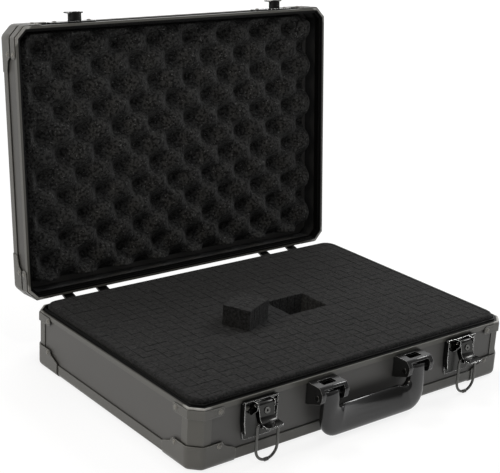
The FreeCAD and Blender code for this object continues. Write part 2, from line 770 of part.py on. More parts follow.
def latch_lever(centre_x):
    """Lever: rolled knuckle, flat face, curve into a thumb lip, and ears for the bail."""
    wide = lever_lip_width / 2
    half = lever_width / 2
    turn = math.radians(lever_flare_angle)
    outer_start = flare_point(lever_flare_radius, 0)
    outer_mid = flare_point(lever_flare_radius, lever_flare_angle / 2)
    outer_end = flare_point(lever_flare_radius, lever_flare_angle)
    inner_start = flare_point(lever_flare_radius + lever_wall, 0)
    inner_mid = flare_point(lever_flare_radius + lever_wall, lever_flare_angle / 2)
    inner_end = flare_point(lever_flare_radius + lever_wall, lever_flare_angle)
    run = (math.sin(turn) * lever_lip_run, -math.cos(turn) * lever_lip_run)
    outer_tip = (outer_end[0] + run[0], outer_end[1] + run[1])
    inner_tip = (inner_end[0] + run[0], inner_end[1] + run[1])
    inner_face = lever_face - lever_wall
    roll_depth = math.sqrt(lever_knuckle_radius ** 2 - (lever_knuckle_radius - lever_wall) ** 2)
    roll_start = (lever_face, lever_pivot_height)
    roll_mid = (lever_pivot_out - lever_knuckle_radius, lever_pivot_height)
    roll_end = (inner_face, lever_pivot_height - roll_depth)

    def line(start, end):
        return Part.LineSegment(spot(start), spot(end)).toShape()

    def arc(start, middle, end):
        return Part.Arc(spot(start), spot(middle), spot(end)).toShape()

    def spot(point):
        return out_from_front(Vector(point[0], point[1], 0))

    edges = [
        line(roll_start, outer_start),
        arc(outer_start, outer_mid, outer_end),
        line(outer_end, outer_tip),
        line(outer_tip, inner_tip),
        line(inner_tip, inner_end),
        arc(inner_end, inner_mid, inner_start),
        line(inner_start, roll_end),
        arc(roll_end, roll_mid, roll_start),
    ]
    sheet = Part.Face(Part.Wire(edges))
    sheet.translate(along_x * (centre_x - wide))
    sheet = sheet.extrude(along_x * lever_lip_width)
    tip_y = -half_depth - outer_tip[0]
    flare_y = -half_depth - outer_end[0]
    face_y = -half_depth - lever_face - lever_wall
    tall = rounded_face([(centre_x - half, overrun - half_depth, 0), (centre_x - half, face_y, 0),
                         (centre_x - wide, flare_y, 0), (centre_x - wide, tip_y, lever_lip_round),
                         (centre_x + wide, tip_y, lever_lip_round), (centre_x + wide, flare_y, 0),
                         (centre_x + half, face_y, 0), (centre_x + half, overrun - half_depth, 0)], plan)
    sheet = sheet.common(tall.extrude(along_z * base_height))
    middle_radius = lever_flare_radius + lever_wall / 2
    pivot_out = bail_pivot_closed_out
    pivot_height = bail_pivot_closed_height
    upper = flare_point(middle_radius, 0)
    ear_top = lever_pivot_height - lever_knuckle_radius / 2
    ear = [(inner_face - ear_reach, ear_top, ear_lobe / 2), (upper[0], ear_top, 0), upper + (0,),
           flare_point(middle_radius, lever_flare_angle / 2) + (0,),
           flare_point(middle_radius, lever_flare_angle) + (0,),
           (pivot_out + ear_lobe, pivot_height - ear_lobe, ear_lobe * lobe_round_share),
           (pivot_out - ear_lobe, pivot_height - ear_lobe, ear_lobe * lobe_round_share),
           (inner_face - ear_reach, flare_centre_height, ear_lobe)]
    pieces = [sheet]
    for low in (centre_x - half, centre_x + half - lever_wall):
        pieces.append(across(ear, out_from_front, low, low + lever_wall))
    lever = fused(pieces).cut(lever_bore(centre_x))
    bail_start = Vector(centre_x - half, -half_depth - pivot_out, pivot_height)
    lever = lever.cut(Part.makeCylinder(bail_wire_radius + pin_clearance, lever_width, bail_start, along_x))
    lock_hole = Part.makeCylinder(lock_shank_radius + pin_clearance, 2 * lever_wall,
                                  lock_place(centre_x) + outward * lever_wall / 2, rearward)
    return ajar(lever.cut(lock_hole), centre_x)


def lock_plug(centre_x):
    """Lock plug: a head with a key hole, a shank through the lever and a cam behind it."""
    face = lock_place(centre_x)
    head = Part.makeCylinder(lock_head_radius, lock_head_height, face, outward)
    shank = Part.makeCylinder(lock_shank_radius, lever_wall, face, rearward)
    cam_y = face.y + lever_wall
    cam = box(centre_x - lock_cam_width / 2, centre_x + lock_cam_width / 2, cam_y, cam_y + lock_cam_wall,
              face.z - lock_cam_length, face.z + lock_shank_radius)
    key_hole = Part.makeCylinder(key_hole_radius, key_hole_depth, face + outward * lock_head_height, rearward)
    return ajar(fused([head, shank, cam]).cut(key_hole), centre_x)


turn_back = math.radians(lever_ajar_angle)
bail_rest_out = (lever_pivot_out + bail_pivot_out * math.cos(turn_back)
                 + bail_pivot_drop * math.sin(turn_back))
bail_rest_height = (lever_pivot_height + bail_pivot_out * math.sin(turn_back)
                    - bail_pivot_drop * math.cos(turn_back))


def latch_bail(centre_x):
    """Wire bail hanging from the lever's ears, its ends turned in through them."""
    y = -half_depth - bail_rest_out
    top = bail_rest_height
    end = lever_width / 2 - lever_wall - bail_end_inside
    bow_height = top - bail_length + bail_half_width
    corner = bail_bend * math.sqrt(0.5)

    def at(x, z):
        return Vector(centre_x + x, y, z)

    edges = []
    for side in (-1, 1):
        leg = side * bail_half_width
        bend_x = leg - side * bail_bend
        run = [Part.LineSegment(at(side * end, top), at(bend_x, top)).toShape(),
               Part.Arc(at(bend_x, top), at(bend_x + side * corner, top - bail_bend + corner),
                        at(leg, top - bail_bend)).toShape(),
               Part.LineSegment(at(leg, top - bail_bend), at(leg, bow_height)).toShape()]
        edges += run
    edges.append(Part.Arc(at(-bail_half_width, bow_height), at(0, bow_height - bail_half_width),
                          at(bail_half_width, bow_height)).toShape())
    path = Part.Wire(Part.__sortEdges__(edges))
    start = path.OrderedVertexes[0].Point
    section = Part.Wire(Part.makeCircle(bail_wire_radius, start, along_x))
    wire = path.makePipeShell([section], True, False)
    bead_start = at(-bail_bead_length / 2, top - bail_length)
    bead = Part.makeCylinder(bail_bead_radius, bail_bead_length, bead_start, along_x)
    return fused([wire, bead])


def keeper(centre_x):
    """Keeper plate on the lid's front with a hook that the bail pulls down on."""
    half = keeper_width / 2
    high = keeper_low + keeper_height
    sheet = rounded_face([(centre_x - half, keeper_low, keeper_corner),
                          (centre_x + half, keeper_low, keeper_corner),
                          (centre_x + half, high, keeper_corner),
                          (centre_x - half, high, keeper_corner)], front_view)
    sheet.translate(along_y * (board_outer - half_depth))
    sheet = sheet.extrude(outward * keeper_plate_wall)
    lean = math.radians(bail_hooked_lean)
    bow_centre = bail_pivot_closed_height + (bail_length - bail_half_width) * math.cos(lean)
    saddle_radius = bail_half_width - bail_bead_radius - bail_seat_gap
    edge = keeper_hook_width / 2
    lip_top = bow_centre + saddle_radius + keeper_lip_height
    back = board_outer - half_depth
    front = -half_depth - keeper_hook_reach

    def disc(radius):
        return Part.makeCylinder(radius, back - front, Vector(centre_x, front, bow_centre), along_y)

    saddle = disc(saddle_radius).cut(disc(saddle_radius - keeper_wall))
    saddle = saddle.common(box(centre_x - edge, centre_x + edge, front, back, keeper_low, lip_top))
    lip = rounded_face([(centre_x - edge, bow_centre, 0), (centre_x + edge, bow_centre, 0),
                        (centre_x + edge, lip_top, keeper_lip_round),
                        (centre_x - edge, lip_top, keeper_lip_round)], front_view)
    lip.translate(along_y * front)
    lip = lip.extrude(rearward * keeper_wall).cut(disc(saddle_radius - keeper_wall))
    return drilled(fused([sheet, saddle, lip]), keeper_places)


# Handle
def handle_bracket(centre_x):
    """Cast bracket: two cheeks under a windowed roof, on a plate against the board."""
    half = handle_bracket_width / 2
    back = -board_outer
    rim_low = base_height - rim_band - latch_plate_top_gap
    clear = latch_plate_top_gap
    reach = handle_bracket_reach
    roof_low = handle_bracket_top - handle_bracket_roof
    nose = handle_pin_height + handle_barrel_radius
    side = [(back, handle_bracket_low, 0), (handle_bracket_back, handle_bracket_low, handle_bracket_back),
            (reach - handle_bracket_back, handle_pin_height - handle_barrel_radius, handle_barrel_radius),
            (reach, nose, handle_barrel_radius),
            (reach - handle_barrel_radius, handle_bracket_top, handle_barrel_radius / 2),
            (clear, handle_bracket_top, 0), (clear, rim_low, 0), (back, rim_low, 0)]
    body = across(side, out_from_front, centre_x - half, centre_x + half)
    inner = half - handle_bracket_wall
    wall_y = -half_depth + board_outer - handle_bracket_back
    mouth = box(centre_x - inner, centre_x + inner, -half_depth - reach - overrun, wall_y,
                handle_bracket_low - overrun, roof_low)
    window_back = -half_depth - reach + handle_barrel_radius + handle_window_front + handle_window_depth
    window = box(centre_x - handle_window_width / 2, centre_x + handle_window_width / 2,
                 window_back - handle_window_depth, window_back, roof_low - overrun, handle_bracket_top + overrun)
    bore = Part.makeCylinder(handle_pin_radius + pin_clearance, handle_bracket_width,
                             handle_pin_start(centre_x), along_x)
    return drilled(body.cut(mouth).cut(window).cut(bore), handle_places)


def handle_pin_start(centre_x):
    """Left end of the pin's shank."""
    return Vector(centre_x - handle_bracket_width / 2, -half_depth - handle_pin_out, handle_pin_height)


def handle_pin(centre_x):
    """Pin through the bracket's cheeks, with a flat head at each end."""
    start = handle_pin_start(centre_x)
    end = start + along_x * handle_bracket_width
    return fused([
        Part.makeCylinder(handle_pin_radius, handle_bracket_width, start, along_x),
        Part.makeCylinder(handle_pin_head_radius, handle_pin_head_height, start, along_x * -1),
        Part.makeCylinder(handle_pin_head_radius, handle_pin_head_height, end, along_x),
    ])


def handle():
    """Moulded handle: two arms on the pins and a deep grip between them that slopes back to its top."""
    outer = (handle_spacing + handle_arm_width) / 2
    inner = (handle_spacing - handle_arm_width) / 2
    top = handle_pin_height + handle_barrel_radius
    grip_top = handle_low + handle_grip_height
    corners = [(-outer, handle_low, handle_outer_round), (outer, handle_low, handle_outer_round),
               (outer, top, 0), (inner, top, 0), (inner, grip_top, handle_inner_round),
               (-inner, grip_top, handle_inner_round), (-inner, top, 0), (-outer, top, 0)]
    face = rounded_face(corners, front_view)
    face.translate(along_y * (-half_depth - handle_back_out))
    thickness = handle_front_out - handle_back_out
    body = face.extrude(outward * thickness)
    long_edges = [e for e in body.Edges if e.BoundBox.YLength < same_point and e.BoundBox.ZMin < top - same_point]
    body = body.makeFillet(handle_edge_round, long_edges)
    side = [(handle_back_out, handle_low - overrun, 0), (handle_front_out, handle_low - overrun, 0),
            (handle_front_out, handle_shoulder_height, handle_barrel_radius),
            (handle_pin_out + handle_barrel_radius, handle_pin_height, 0),
            (handle_pin_out + handle_barrel_radius, top, handle_barrel_radius),
            (handle_pin_out - handle_barrel_radius, top, handle_barrel_radius),
            (handle_back_out, handle_pin_height - handle_barrel_radius, 0)]
    body = body.common(across(side, out_from_front, -outer, outer))
    slope_back = handle_front_out - handle_slope_depth
    slope = [(handle_front_out, handle_slope_low, 0), (handle_front_out + overrun, handle_slope_low, 0),
             (handle_front_out + overrun, grip_top, 0), (slope_back, grip_top, 0)]
    body = body.cut(across(slope, out_from_front, -inner, inner))
    start = Vector(-outer, -half_depth - handle_pin_out, handle_pin_height)
    bore = Part.makeCylinder(handle_pin_radius + pin_clearance, 2 * outer, start, along_x)
    return body.cut(bore)


# All nodes: the base and its fittings stand as built, the lid and its fittings are swung open
standing = {"base_" + name: shape for name, shape in base.items()}
swung = {"lid_" + name: shape for name, shape in lid.items()}
for side, sign in (("left", -1), ("right", 1)):
    hinge_base_leaf, hinge_lid_leaf, hinge_pin = hinge(sign * hinge_spacing / 2)
    standing["hinge_base_leaf_" + side] = hinge_base_leaf
    standing["hinge_pin_" + side] = hinge_pin
    swung["hinge_lid_leaf_" + side] = hinge_lid_leaf
    latch_x = sign * latch_spacing / 2
    standing["latch_plate_" + side] = latch_plate(latch_x)
    standing["latch_pin_" + side] = latch_pin(latch_x)
    standing["latch_lever_" + side] = latch_lever(latch_x)
    standing["lock_plug_" + side] = lock_plug(latch_x)
    standing["latch_bail_" + side] = latch_bail(latch_x)
    swung["keeper_" + side] = keeper(latch_x)
    handle_x = sign * handle_spacing / 2
    standing["handle_bracket_" + side] = handle_bracket(handle_x)
    standing["handle_pin_" + side] = handle_pin(handle_x)
standing["handle"] = handle()

os.makedirs("parts", exist_ok=True)
for name, shape in swung.items():
    shape.rotate(hinge_axis, along_x, -lid_open_angle)
for name, shape in {**standing, **swung}.items():
    shape.exportStep("parts/" + name + ".step")
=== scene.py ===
import json
import math
import random

import bmesh
import bpy
from mathutils import Matrix, Vector, noise


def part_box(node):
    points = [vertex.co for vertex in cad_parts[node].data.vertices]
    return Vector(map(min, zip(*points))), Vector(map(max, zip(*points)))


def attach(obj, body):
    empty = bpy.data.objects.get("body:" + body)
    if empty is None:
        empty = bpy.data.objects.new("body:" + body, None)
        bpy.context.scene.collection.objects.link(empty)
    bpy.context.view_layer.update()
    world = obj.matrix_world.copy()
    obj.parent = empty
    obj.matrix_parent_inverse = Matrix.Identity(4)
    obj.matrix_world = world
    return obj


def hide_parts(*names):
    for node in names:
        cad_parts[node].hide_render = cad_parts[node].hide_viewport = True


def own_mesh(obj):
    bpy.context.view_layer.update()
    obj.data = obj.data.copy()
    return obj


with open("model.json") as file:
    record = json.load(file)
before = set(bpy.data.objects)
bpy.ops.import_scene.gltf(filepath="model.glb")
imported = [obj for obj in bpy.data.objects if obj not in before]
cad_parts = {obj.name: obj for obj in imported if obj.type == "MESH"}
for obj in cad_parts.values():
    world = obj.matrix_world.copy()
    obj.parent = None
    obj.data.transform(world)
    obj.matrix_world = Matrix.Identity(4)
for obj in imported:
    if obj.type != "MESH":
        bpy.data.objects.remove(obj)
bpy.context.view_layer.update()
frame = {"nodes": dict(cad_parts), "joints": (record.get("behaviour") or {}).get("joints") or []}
nodes = frame["nodes"]


# Boards of both halves: thin fibreboard faced with grey moulded plastic sheet.
# They are sawn to size and held in the metal strips along all their edges.
# The sheet is smooth, with a fine grit that gives it a soft, even sheen.
MM = 0.001


def linear(colour):
    """Linear colour of an sRGB hex value such as "5a5955"."""
    channels = [int(colour[place:place + 2], 16) / 255 for place in (0, 2, 4)]
    return [c / 12.92 if c <= 0.04045 else ((c + 0.055) / 1.055) ** 2.4 for c in channels] + [1.0]


def add(tree, kind, settings=None, links=None):
    """Adds a shader node, gives its properties and sockets their values, and links its inputs."""
    made = tree.nodes.new(kind)
    for name, value in (settings or {}).items():
        if isinstance(name, str) and hasattr(made, name):
            setattr(made, name, value)
        else:
            made.inputs[name].default_value = value
    for name, source in (links or {}).items():
        tree.links.new(source, made.inputs[name])
    return made


def new_finish(name):
    """Empty material; returns it with its tree and Object coordinates."""
    finish = bpy.data.materials.new(name)
    finish.use_nodes = True
    tree = finish.node_tree
    tree.nodes.clear()
    place = add(tree, "ShaderNodeTexCoord").outputs["Object"]
    return finish, tree, place


def per_metre(size_mm):
    """Texture scale at which one feature is that many millimetres across."""
    return 1 / (size_mm * MM)


def painted_crevice_shade(tree, paint, shade_colour="141413", reach_mm=2.0, fully_shaded_below=0.5, unshaded_above=0.85):
    """Colour of a paint with painted shade where pieces meet, darkening within that reach of an inner corner.
    """
    free = add(tree, "ShaderNodeAmbientOcclusion", {"samples": 8, "Distance": reach_mm * MM})
    unshaded = add(tree, "ShaderNodeMapRange", {"From Min": fully_shaded_below, "From Max": unshaded_above},
                {"Value": free.outputs["AO"]})
    shaded = add(tree, "ShaderNodeMixRGB", {"Color1": linear(shade_colour)},
                 {"Fac": unshaded.outputs["Result"], "Color2": paint})
    return shaded.outputs["Color"]


def grey_sheet(name, dark, light, grit_mm, cloud_mm, rough, bump_mm, edge, metal=0.0, wear_and_highlight_share=0.55,
               soften_mm=0.6):
    """Smooth finish: cloudy tone, fine grit in the gloss, edges painted paler as wear and highlight, painted
    shade in corners.
    """
    gloss_spread = 0.06
    wear_and_highlight_from, wear_and_highlight_fully = 0.985, 0.90
    finish, tree, place = new_finish(name)
    cloud = add(tree, "ShaderNodeTexNoise", {"Scale": per_metre(cloud_mm), "Detail": 3.0}, {"Vector": place})
    grit = add(tree, "ShaderNodeTexNoise", {"Scale": per_metre(grit_mm), "Detail": 2.0}, {"Vector": place})
    tone = add(tree, "ShaderNodeMixRGB", {"Color1": linear(dark), "Color2": linear(light)},
               {"Fac": cloud.outputs["Fac"]})
    soft = add(tree, "ShaderNodeBevel", {"Radius": soften_mm * MM, "samples": 6})
    true = add(tree, "ShaderNodeNewGeometry")
    facing = add(tree, "ShaderNodeVectorMath", {"operation": "DOT_PRODUCT"},
                 {0: soft.outputs["Normal"], 1: true.outputs["Normal"]})
    wear_and_highlight = add(tree, "ShaderNodeMapRange", {"From Min": wear_and_highlight_from, "From Max": wear_and_highlight_fully, "To Max": wear_and_highlight_share},
               {"Value": facing.outputs["Value"]})
    # Edges take the pale edge colour: partly rubbed wear, partly a painted highlight.
    paint = add(tree, "ShaderNodeMixRGB", {"Color2": linear(edge)},
                {"Fac": wear_and_highlight.outputs["Result"], "Color1": tone.outputs["Color"]})
    gloss = add(tree, "ShaderNodeMapRange", {"To Min": rough - gloss_spread, "To Max": rough + gloss_spread},
                {"Value": grit.outputs["Fac"]})
    relief = add(tree, "ShaderNodeBump", {"Strength": 0.35, "Distance": bump_mm * MM},
                 {"Height": grit.outputs["Fac"], "Normal": soft.outputs["Normal"]})
    # The base colour carries painted shade in the crevices.
    shader = add(tree, "ShaderNodeBsdfPrincipled", {"Metallic": metal},
                 {"Base Color": painted_crevice_shade(tree, paint.outputs["Color"]),
                  "Roughness": gloss.outputs["Result"], "Normal": relief.outputs["Normal"]})
    add(tree, "ShaderNodeOutputMaterial", None, {"Surface": shader.outputs["BSDF"]})
    return finish


def dress(names, finish, edge_mm=0.0):
    """Gives nodes a finish, and rounds their sharp edges by a small radius where one is stated."""
    weld_reach = 0.001 * MM
    sharp_edge = math.radians(35)
    for name in names:
        piece = nodes[name]
        piece.data.materials.clear()
        piece.data.materials.append(finish)
        if edge_mm:
            joined = piece.modifiers.new("joined", "WELD")
            joined.merge_threshold = weld_reach
            eased = piece.modifiers.new("rounded", "BEVEL")
            eased.width = edge_mm * MM
            eased.segments = 2
            eased.limit_method = "ANGLE"
            eased.angle_limit = sharp_edge
            eased.use_clamp_overlap = True


halves = ("base", "lid")
sides = ("front", "back", "left", "right")
faced_board = grey_sheet("faced_fibreboard", "4f4e4c", "565553", grit_mm=0.7, cloud_mm=60, rough=0.5,
                         bump_mm=0.05, edge="6d6c68")
dress([half + "_" + side + "_board" for half in halves for side in sides + ("floor",)], faced_board)


# Edge strips and corner posts: extruded aluminium with a grey anodised skin.
# They run along the boards' outer edges and are pinned at the corners under the caps.
# The skin is satin; its edges are painted paler, partly rubbed and partly a painted highlight.
anodised = grey_sheet("anodised_aluminium", "55544f", "5d5c58", grit_mm=0.5, cloud_mm=35, rough=0.4,
                      bump_mm=0.03, edge="8d8c87")
strip_names = [half + "_" + side + "_edge" for half in halves for side in sides]
strip_names += [half + "_corner_posts" for half in halves]
dress(strip_names, anodised, edge_mm=0.3)


# Rims: extruded aluminium round the mouth of each half, grey outside and black on the faces that meet.
# Bright corner pieces, partly a painted highlight, join their lengths; the base's rim has a tongue that
# enters the lid's groove.
half_width = 209.55 * MM
half_depth = 146.05 * MM
corner_chamfer = 11 * MM
hinge = next(joint for joint in frame["joints"] if joint["name"] == "lid_hinge")
hinge_point = Vector(hinge["pos_m"])
open_turn = math.radians(hinge["range_deg"][0])


def case_inset(tree, place):
    """Distance in from the case's chamfered outline, and how far a point lies from a corner's middle."""
    apart = add(tree, "ShaderNodeVectorMath", {"operation": "ABSOLUTE"}, {0: place})
    axes = add(tree, "ShaderNodeSeparateXYZ", None, {0: apart.outputs["Vector"]}).outputs
    in_x = add(tree, "ShaderNodeMath", {"operation": "SUBTRACT", 0: half_width}, {1: axes["X"]})
    in_y = add(tree, "ShaderNodeMath", {"operation": "SUBTRACT", 0: half_depth}, {1: axes["Y"]})
    both = add(tree, "ShaderNodeMath", {"operation": "ADD"},
               {0: in_x.outputs["Value"], 1: in_y.outputs["Value"]})
    skew = add(tree, "ShaderNodeMath", {"operation": "MULTIPLY_ADD", 1: math.sqrt(0.5),
                                        2: -corner_chamfer * math.sqrt(0.5)}, {0: both.outputs["Value"]})
    least = add(tree, "ShaderNodeMath", {"operation": "MINIMUM"},
                {0: in_x.outputs["Value"], 1: in_y.outputs["Value"]})
    inset = add(tree, "ShaderNodeMath", {"operation": "MINIMUM"},
                {0: least.outputs["Value"], 1: skew.outputs["Value"]})
    return inset.outputs["Value"], both.outputs["Value"]


def rim_finish(name, opened_by, grey, black, bright, band_mm, joint_mm, band_fade_mm=0.3, joint_fade_mm=3,
               grit_mm=0.5, cloud_mm=18, bump_mm=0.03):
    """Grey outer skin, black inside a band along the outer edge, and bright joints at the corners, partly a
    painted highlight.
    """
    joint_reach = corner_chamfer + joint_mm * MM
    finish, tree, place = new_finish(name)
    shut = add(tree, "ShaderNodeVectorRotate", {"rotation_type": "X_AXIS", "Center": hinge_point,
                                                "Angle": -opened_by}, {"Vector": place})
    inset, from_corner = case_inset(tree, shut.outputs["Vector"])
    grit = add(tree, "ShaderNodeTexNoise", {"Scale": per_metre(grit_mm), "Detail": 2.0}, {"Vector": place})
    cloud = add(tree, "ShaderNodeTexNoise", {"Scale": per_metre(cloud_mm), "Detail": 3.0}, {"Vector": place})
    at_corner = add(tree, "ShaderNodeMapRange", {"From Min": joint_reach,
                                                 "From Max": joint_reach - joint_fade_mm * MM},
                    {"Value": from_corner})
    wear_and_highlight = add(tree, "ShaderNodeMapRange", {"From Min": 0.4, "From Max": 0.7, "To Min": 0.35},
               {"Value": cloud.outputs["Fac"]})
    shown = add(tree, "ShaderNodeMath", {"operation": "MULTIPLY"},
                {0: at_corner.outputs["Result"], 1: wear_and_highlight.outputs["Result"]})
    # The bright corner colour is partly paler metal and partly a painted highlight.
    skin = add(tree, "ShaderNodeMixRGB", {"Color1": linear(grey), "Color2": linear(bright)},
               {"Fac": shown.outputs["Value"]})
    within = add(tree, "ShaderNodeMapRange", {"From Min": (band_mm - band_fade_mm) * MM,
                                              "From Max": (band_mm + band_fade_mm) * MM}, {"Value": inset})
    paint = add(tree, "ShaderNodeMixRGB", {"Color2": linear(black)},
                {"Fac": within.outputs["Result"], "Color1": skin.outputs["Color"]})
    gloss = add(tree, "ShaderNodeMapRange", {"To Min": 0.28, "To Max": 0.42}, {"Value": grit.outputs["Fac"]})
    sheen = add(tree, "ShaderNodeMapRange", {"To Min": 0.5, "To Max": 0.1},
                {"Value": within.outputs["Result"]})
    relief = add(tree, "ShaderNodeBump", {"Strength": 0.3, "Distance": bump_mm * MM},
                 {"Height": grit.outputs["Fac"]})
    # The base colour carries painted shade in the crevices.
    shader = add(tree, "ShaderNodeBsdfPrincipled", None,
                 {"Base Color": painted_crevice_shade(tree, paint.outputs["Color"]),
                  "Roughness": gloss.outputs["Result"], "Specular IOR Level": sheen.outputs["Result"],
                  "Normal": relief.outputs["Normal"]})
    add(tree, "ShaderNodeOutputMaterial", None, {"Surface": shader.outputs["BSDF"]})
    return finish


for half, opened_by, grey_band_mm in (("base", 0.0, 1.8), ("lid", open_turn, 2.6)):
    rim_paint = rim_finish("anodised_rim_" + half, opened_by, grey="55544f", black="0b0b0b", bright="b9b8b4",
                           band_mm=grey_band_mm, joint_mm=9)
    dress([half + "_rim"], rim_paint, edge_mm=0.3)


# Corner caps and rim brackets: sheet steel pressed to shape and painted grey.
# Rivets through their lobes hold them to the boards; the edges are painted paler, partly thin paint and
# partly a painted highlight.
pressed_paint = grey_sheet("painted_steel", "565551", "5e5d59", grit_mm=0.6, cloud_mm=25, rough=0.42,
                           bump_mm=0.04, edge="b8b7b2", wear_and_highlight_share=0.7)
dress([half + "_" + part for half in halves for part in ("corner_caps", "rim_brackets")],
      pressed_paint, edge_mm=0.25)


# Rivets: soft aluminium, closed with a low crowned head and painted with the case.
# They hold the caps, brackets, latches, hinges and the handle's brackets.
# Their crowns are painted paler than the metal round them, partly rubbed and partly a painted highlight for a
# small bright spot.
rivet_paint = grey_sheet("painted_rivet", "67665f", "7b7872", grit_mm=0.4, cloud_mm=8, rough=0.3,
                         bump_mm=0.03, edge="d2d1cc", wear_and_highlight_share=0.8)
dress([half + "_" + part for half in halves for part in ("rivets", "hardware_rivets")],
      rivet_paint, edge_mm=0.2)


# Lining: thin black felt, glued to the inside of the boards in both halves.
# Its short nap scatters light, so it stays black and soft at every angle.
def felt(name, dark, light, nap_mm, bump_mm=0.2):
    """Black napped cloth with tiny lighter fibres."""
    finish, tree, place = new_finish(name)
    nap = add(tree, "ShaderNodeTexNoise", {"Scale": per_metre(nap_mm), "Detail": 6.0}, {"Vector": place})
    tone = add(tree, "ShaderNodeMixRGB", {"Color1": linear(dark), "Color2": linear(light)},
               {"Fac": nap.outputs["Fac"]})
    relief = add(tree, "ShaderNodeBump", {"Strength": 0.6, "Distance": bump_mm * MM},
                 {"Height": nap.outputs["Fac"]})
    shader = add(tree, "ShaderNodeBsdfPrincipled",
                 {"Roughness": 0.95, "Specular IOR Level": 0.15,
                  "Sheen Weight": 0.12, "Sheen Roughness": 0.6},
                 {"Base Color": tone.outputs["Color"], "Normal": relief.outputs["Normal"]})
    add(tree, "ShaderNodeOutputMaterial", None, {"Surface": shader.outputs["BSDF"]})
    return finish


def place_piece(mesh, name, finish, body, stands_for):
    """Object at the origin from a finished bmesh, riding on its body in place of a node."""
    data = bpy.data.meshes.new(name)
    bmesh.ops.recalc_face_normals(mesh, faces=mesh.faces[:])
    mesh.to_mesh(data)
    mesh.free()
    data.materials.append(finish)
    piece = bpy.data.objects.new(name, data)
    bpy.context.scene.collection.objects.link(piece)
    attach(piece, body)
    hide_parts(stands_for)
    return piece


def case_outline(inset, step):
    """Points round the chamfered outline at an inset, about a step apart."""
    x, y = half_width - inset, half_depth - inset
    cut = corner_chamfer - inset * (2 - math.sqrt(2))
    corners = [Vector((a, b, 0)) for a, b in ((x - cut, -y), (x, cut - y), (x, y - cut), (x - cut, y),
                                              (cut - x, y), (-x, y - cut), (-x, cut - y), (cut - x, -y))]
    points = []
    for number, corner in enumerate(corners):
        after = corners[(number + 1) % len(corners)]
        count = max(1, round((after - corner).length / step))
        points += [corner.lerp(after, part / count) for part in range(count)]
    return points


lid_opening = Matrix.Rotation(open_turn, 3, "X")
black_felt = felt("black_felt", "080808", "141414", nap_mm=0.8)
felt_inset = 5.3 * MM
felt_thickness = 0.8 * MM
felt_ripple = 0.25 * MM
felt_step = 8 * MM
felt_rows = 4
for half, low, high in (("base", 5.7 * MM, 55.0 * MM), ("lid", 74.3 * MM, 92.6 * MM)):
    ring = case_outline(felt_inset, felt_step)
    band = bmesh.new()
    levels = []
    for row in range(felt_rows + 1):
        height = low + (high - low) * row / felt_rows
        levels.append([])
        for point in ring:
            wave = 1 + noise.noise(Vector((point.x, point.y, height)) / felt_step)
            spot = point * (1 + felt_ripple * wave / 2 / point.length) + Vector((0, 0, height))
            levels[-1].append(band.verts.new(spot))
    for lower, upper in zip(levels, levels[1:]):
        for number in range(len(ring)):
            band.faces.new((lower[number - 1], lower[number], upper[number], upper[number - 1]))
    if half == "lid":
        bmesh.ops.rotate(band, cent=hinge_point, matrix=lid_opening, verts=band.verts[:])
    cloth = place_piece(band, half + "_felt_lining", black_felt, half, half + "_lining")
    thick = cloth.modifiers.new("thick", "SOLIDIFY")
    thick.thickness = felt_thickness - felt_ripple
    thick.offset = 1.0


# Foam of the base: charcoal open-cell foam, a flat pad under a layer that is die-cut into cubes.
# The layer lies loose in the base, stands proud of the rim and has a pocket plucked out of it.
# Cut faces are dark and matt; the pocket's torn walls are painted a little paler, partly for their open cells
# and partly as painted light.
def open_cell_foam(name, dark, light, cell_mm, glint, glint_colour="6a6a6a", bump_mm=0.5):
    """Matt foam: pores as pits, and pale specks as a painted highlight of cell walls that catch the light;
    drawn coarse, so as to show.
    """
    finish, tree, place = new_finish(name)
    grain_mm, speck_mm = 2.4 * cell_mm, 2 * cell_mm
    cells = add(tree, "ShaderNodeTexVoronoi", {"Scale": per_metre(cell_mm), "Randomness": 1.0},
                {"Vector": place})
    cloud = add(tree, "ShaderNodeTexNoise", {"Scale": per_metre(grain_mm), "Detail": 1.0, "Roughness": 0.5},
                {"Vector": place})
    grain = add(tree, "ShaderNodeMapRange", {"From Min": 0.36, "From Max": 0.64},
                {"Value": cloud.outputs["Fac"]})
    specks = add(tree, "ShaderNodeTexNoise", {"Scale": per_metre(speck_mm), "Detail": 2.0, "Roughness": 0.6},
                 {"Vector": place})
    bright = add(tree, "ShaderNodeMapRange", {"From Min": 0.62, "From Max": 0.72, "To Max": glint},
                 {"Value": specks.outputs["Fac"]})
    tone = add(tree, "ShaderNodeMixRGB", {"Color1": linear(dark), "Color2": linear(light)},
               {"Fac": grain.outputs["Result"]})
    # Pale specks: a painted highlight where cell walls catch the light.
    lit = add(tree, "ShaderNodeMixRGB", {"Color2": linear(glint_colour)},
              {"Fac": bright.outputs["Result"], "Color1": tone.outputs["Color"]})
    relief = add(tree, "ShaderNodeBump", {"Strength": 0.8, "Distance": bump_mm * MM},
                 {"Height": cells.outputs["Distance"]})
    shader = add(tree, "ShaderNodeBsdfPrincipled",
                 {"Roughness": 0.9, "Specular IOR Level": 0.2, "Sheen Weight": 0.05, "Sheen Roughness": 0.5},
                 {"Base Color": lit.outputs["Color"], "Normal": relief.outputs["Normal"]})
    add(tree, "ShaderNodeOutputMaterial", None, {"Surface": shader.outputs["BSDF"]})
    return finish


def block_between(low, high):
    """Mesh of a plain block between two corners."""
    mesh = bmesh.new()
    bmesh.ops.create_cube(mesh, size=1.0)
    bmesh.ops.scale(mesh, vec=high - low, verts=mesh.verts[:])
    bmesh.ops.translate(mesh, vec=(low + high) / 2, verts=mesh.verts[:])
    return mesh


def round_edges(mesh, wanted, radius, segments):
    """Rounds the edges that pass a test."""
    chosen = [edge for edge in mesh.edges if wanted(edge)]
    bmesh.ops.bevel(mesh, geom=chosen, offset=radius, offset_type="OFFSET", affect="EDGES", segments=segments,
                    profile=0.5, material=-1, clamp_overlap=True)


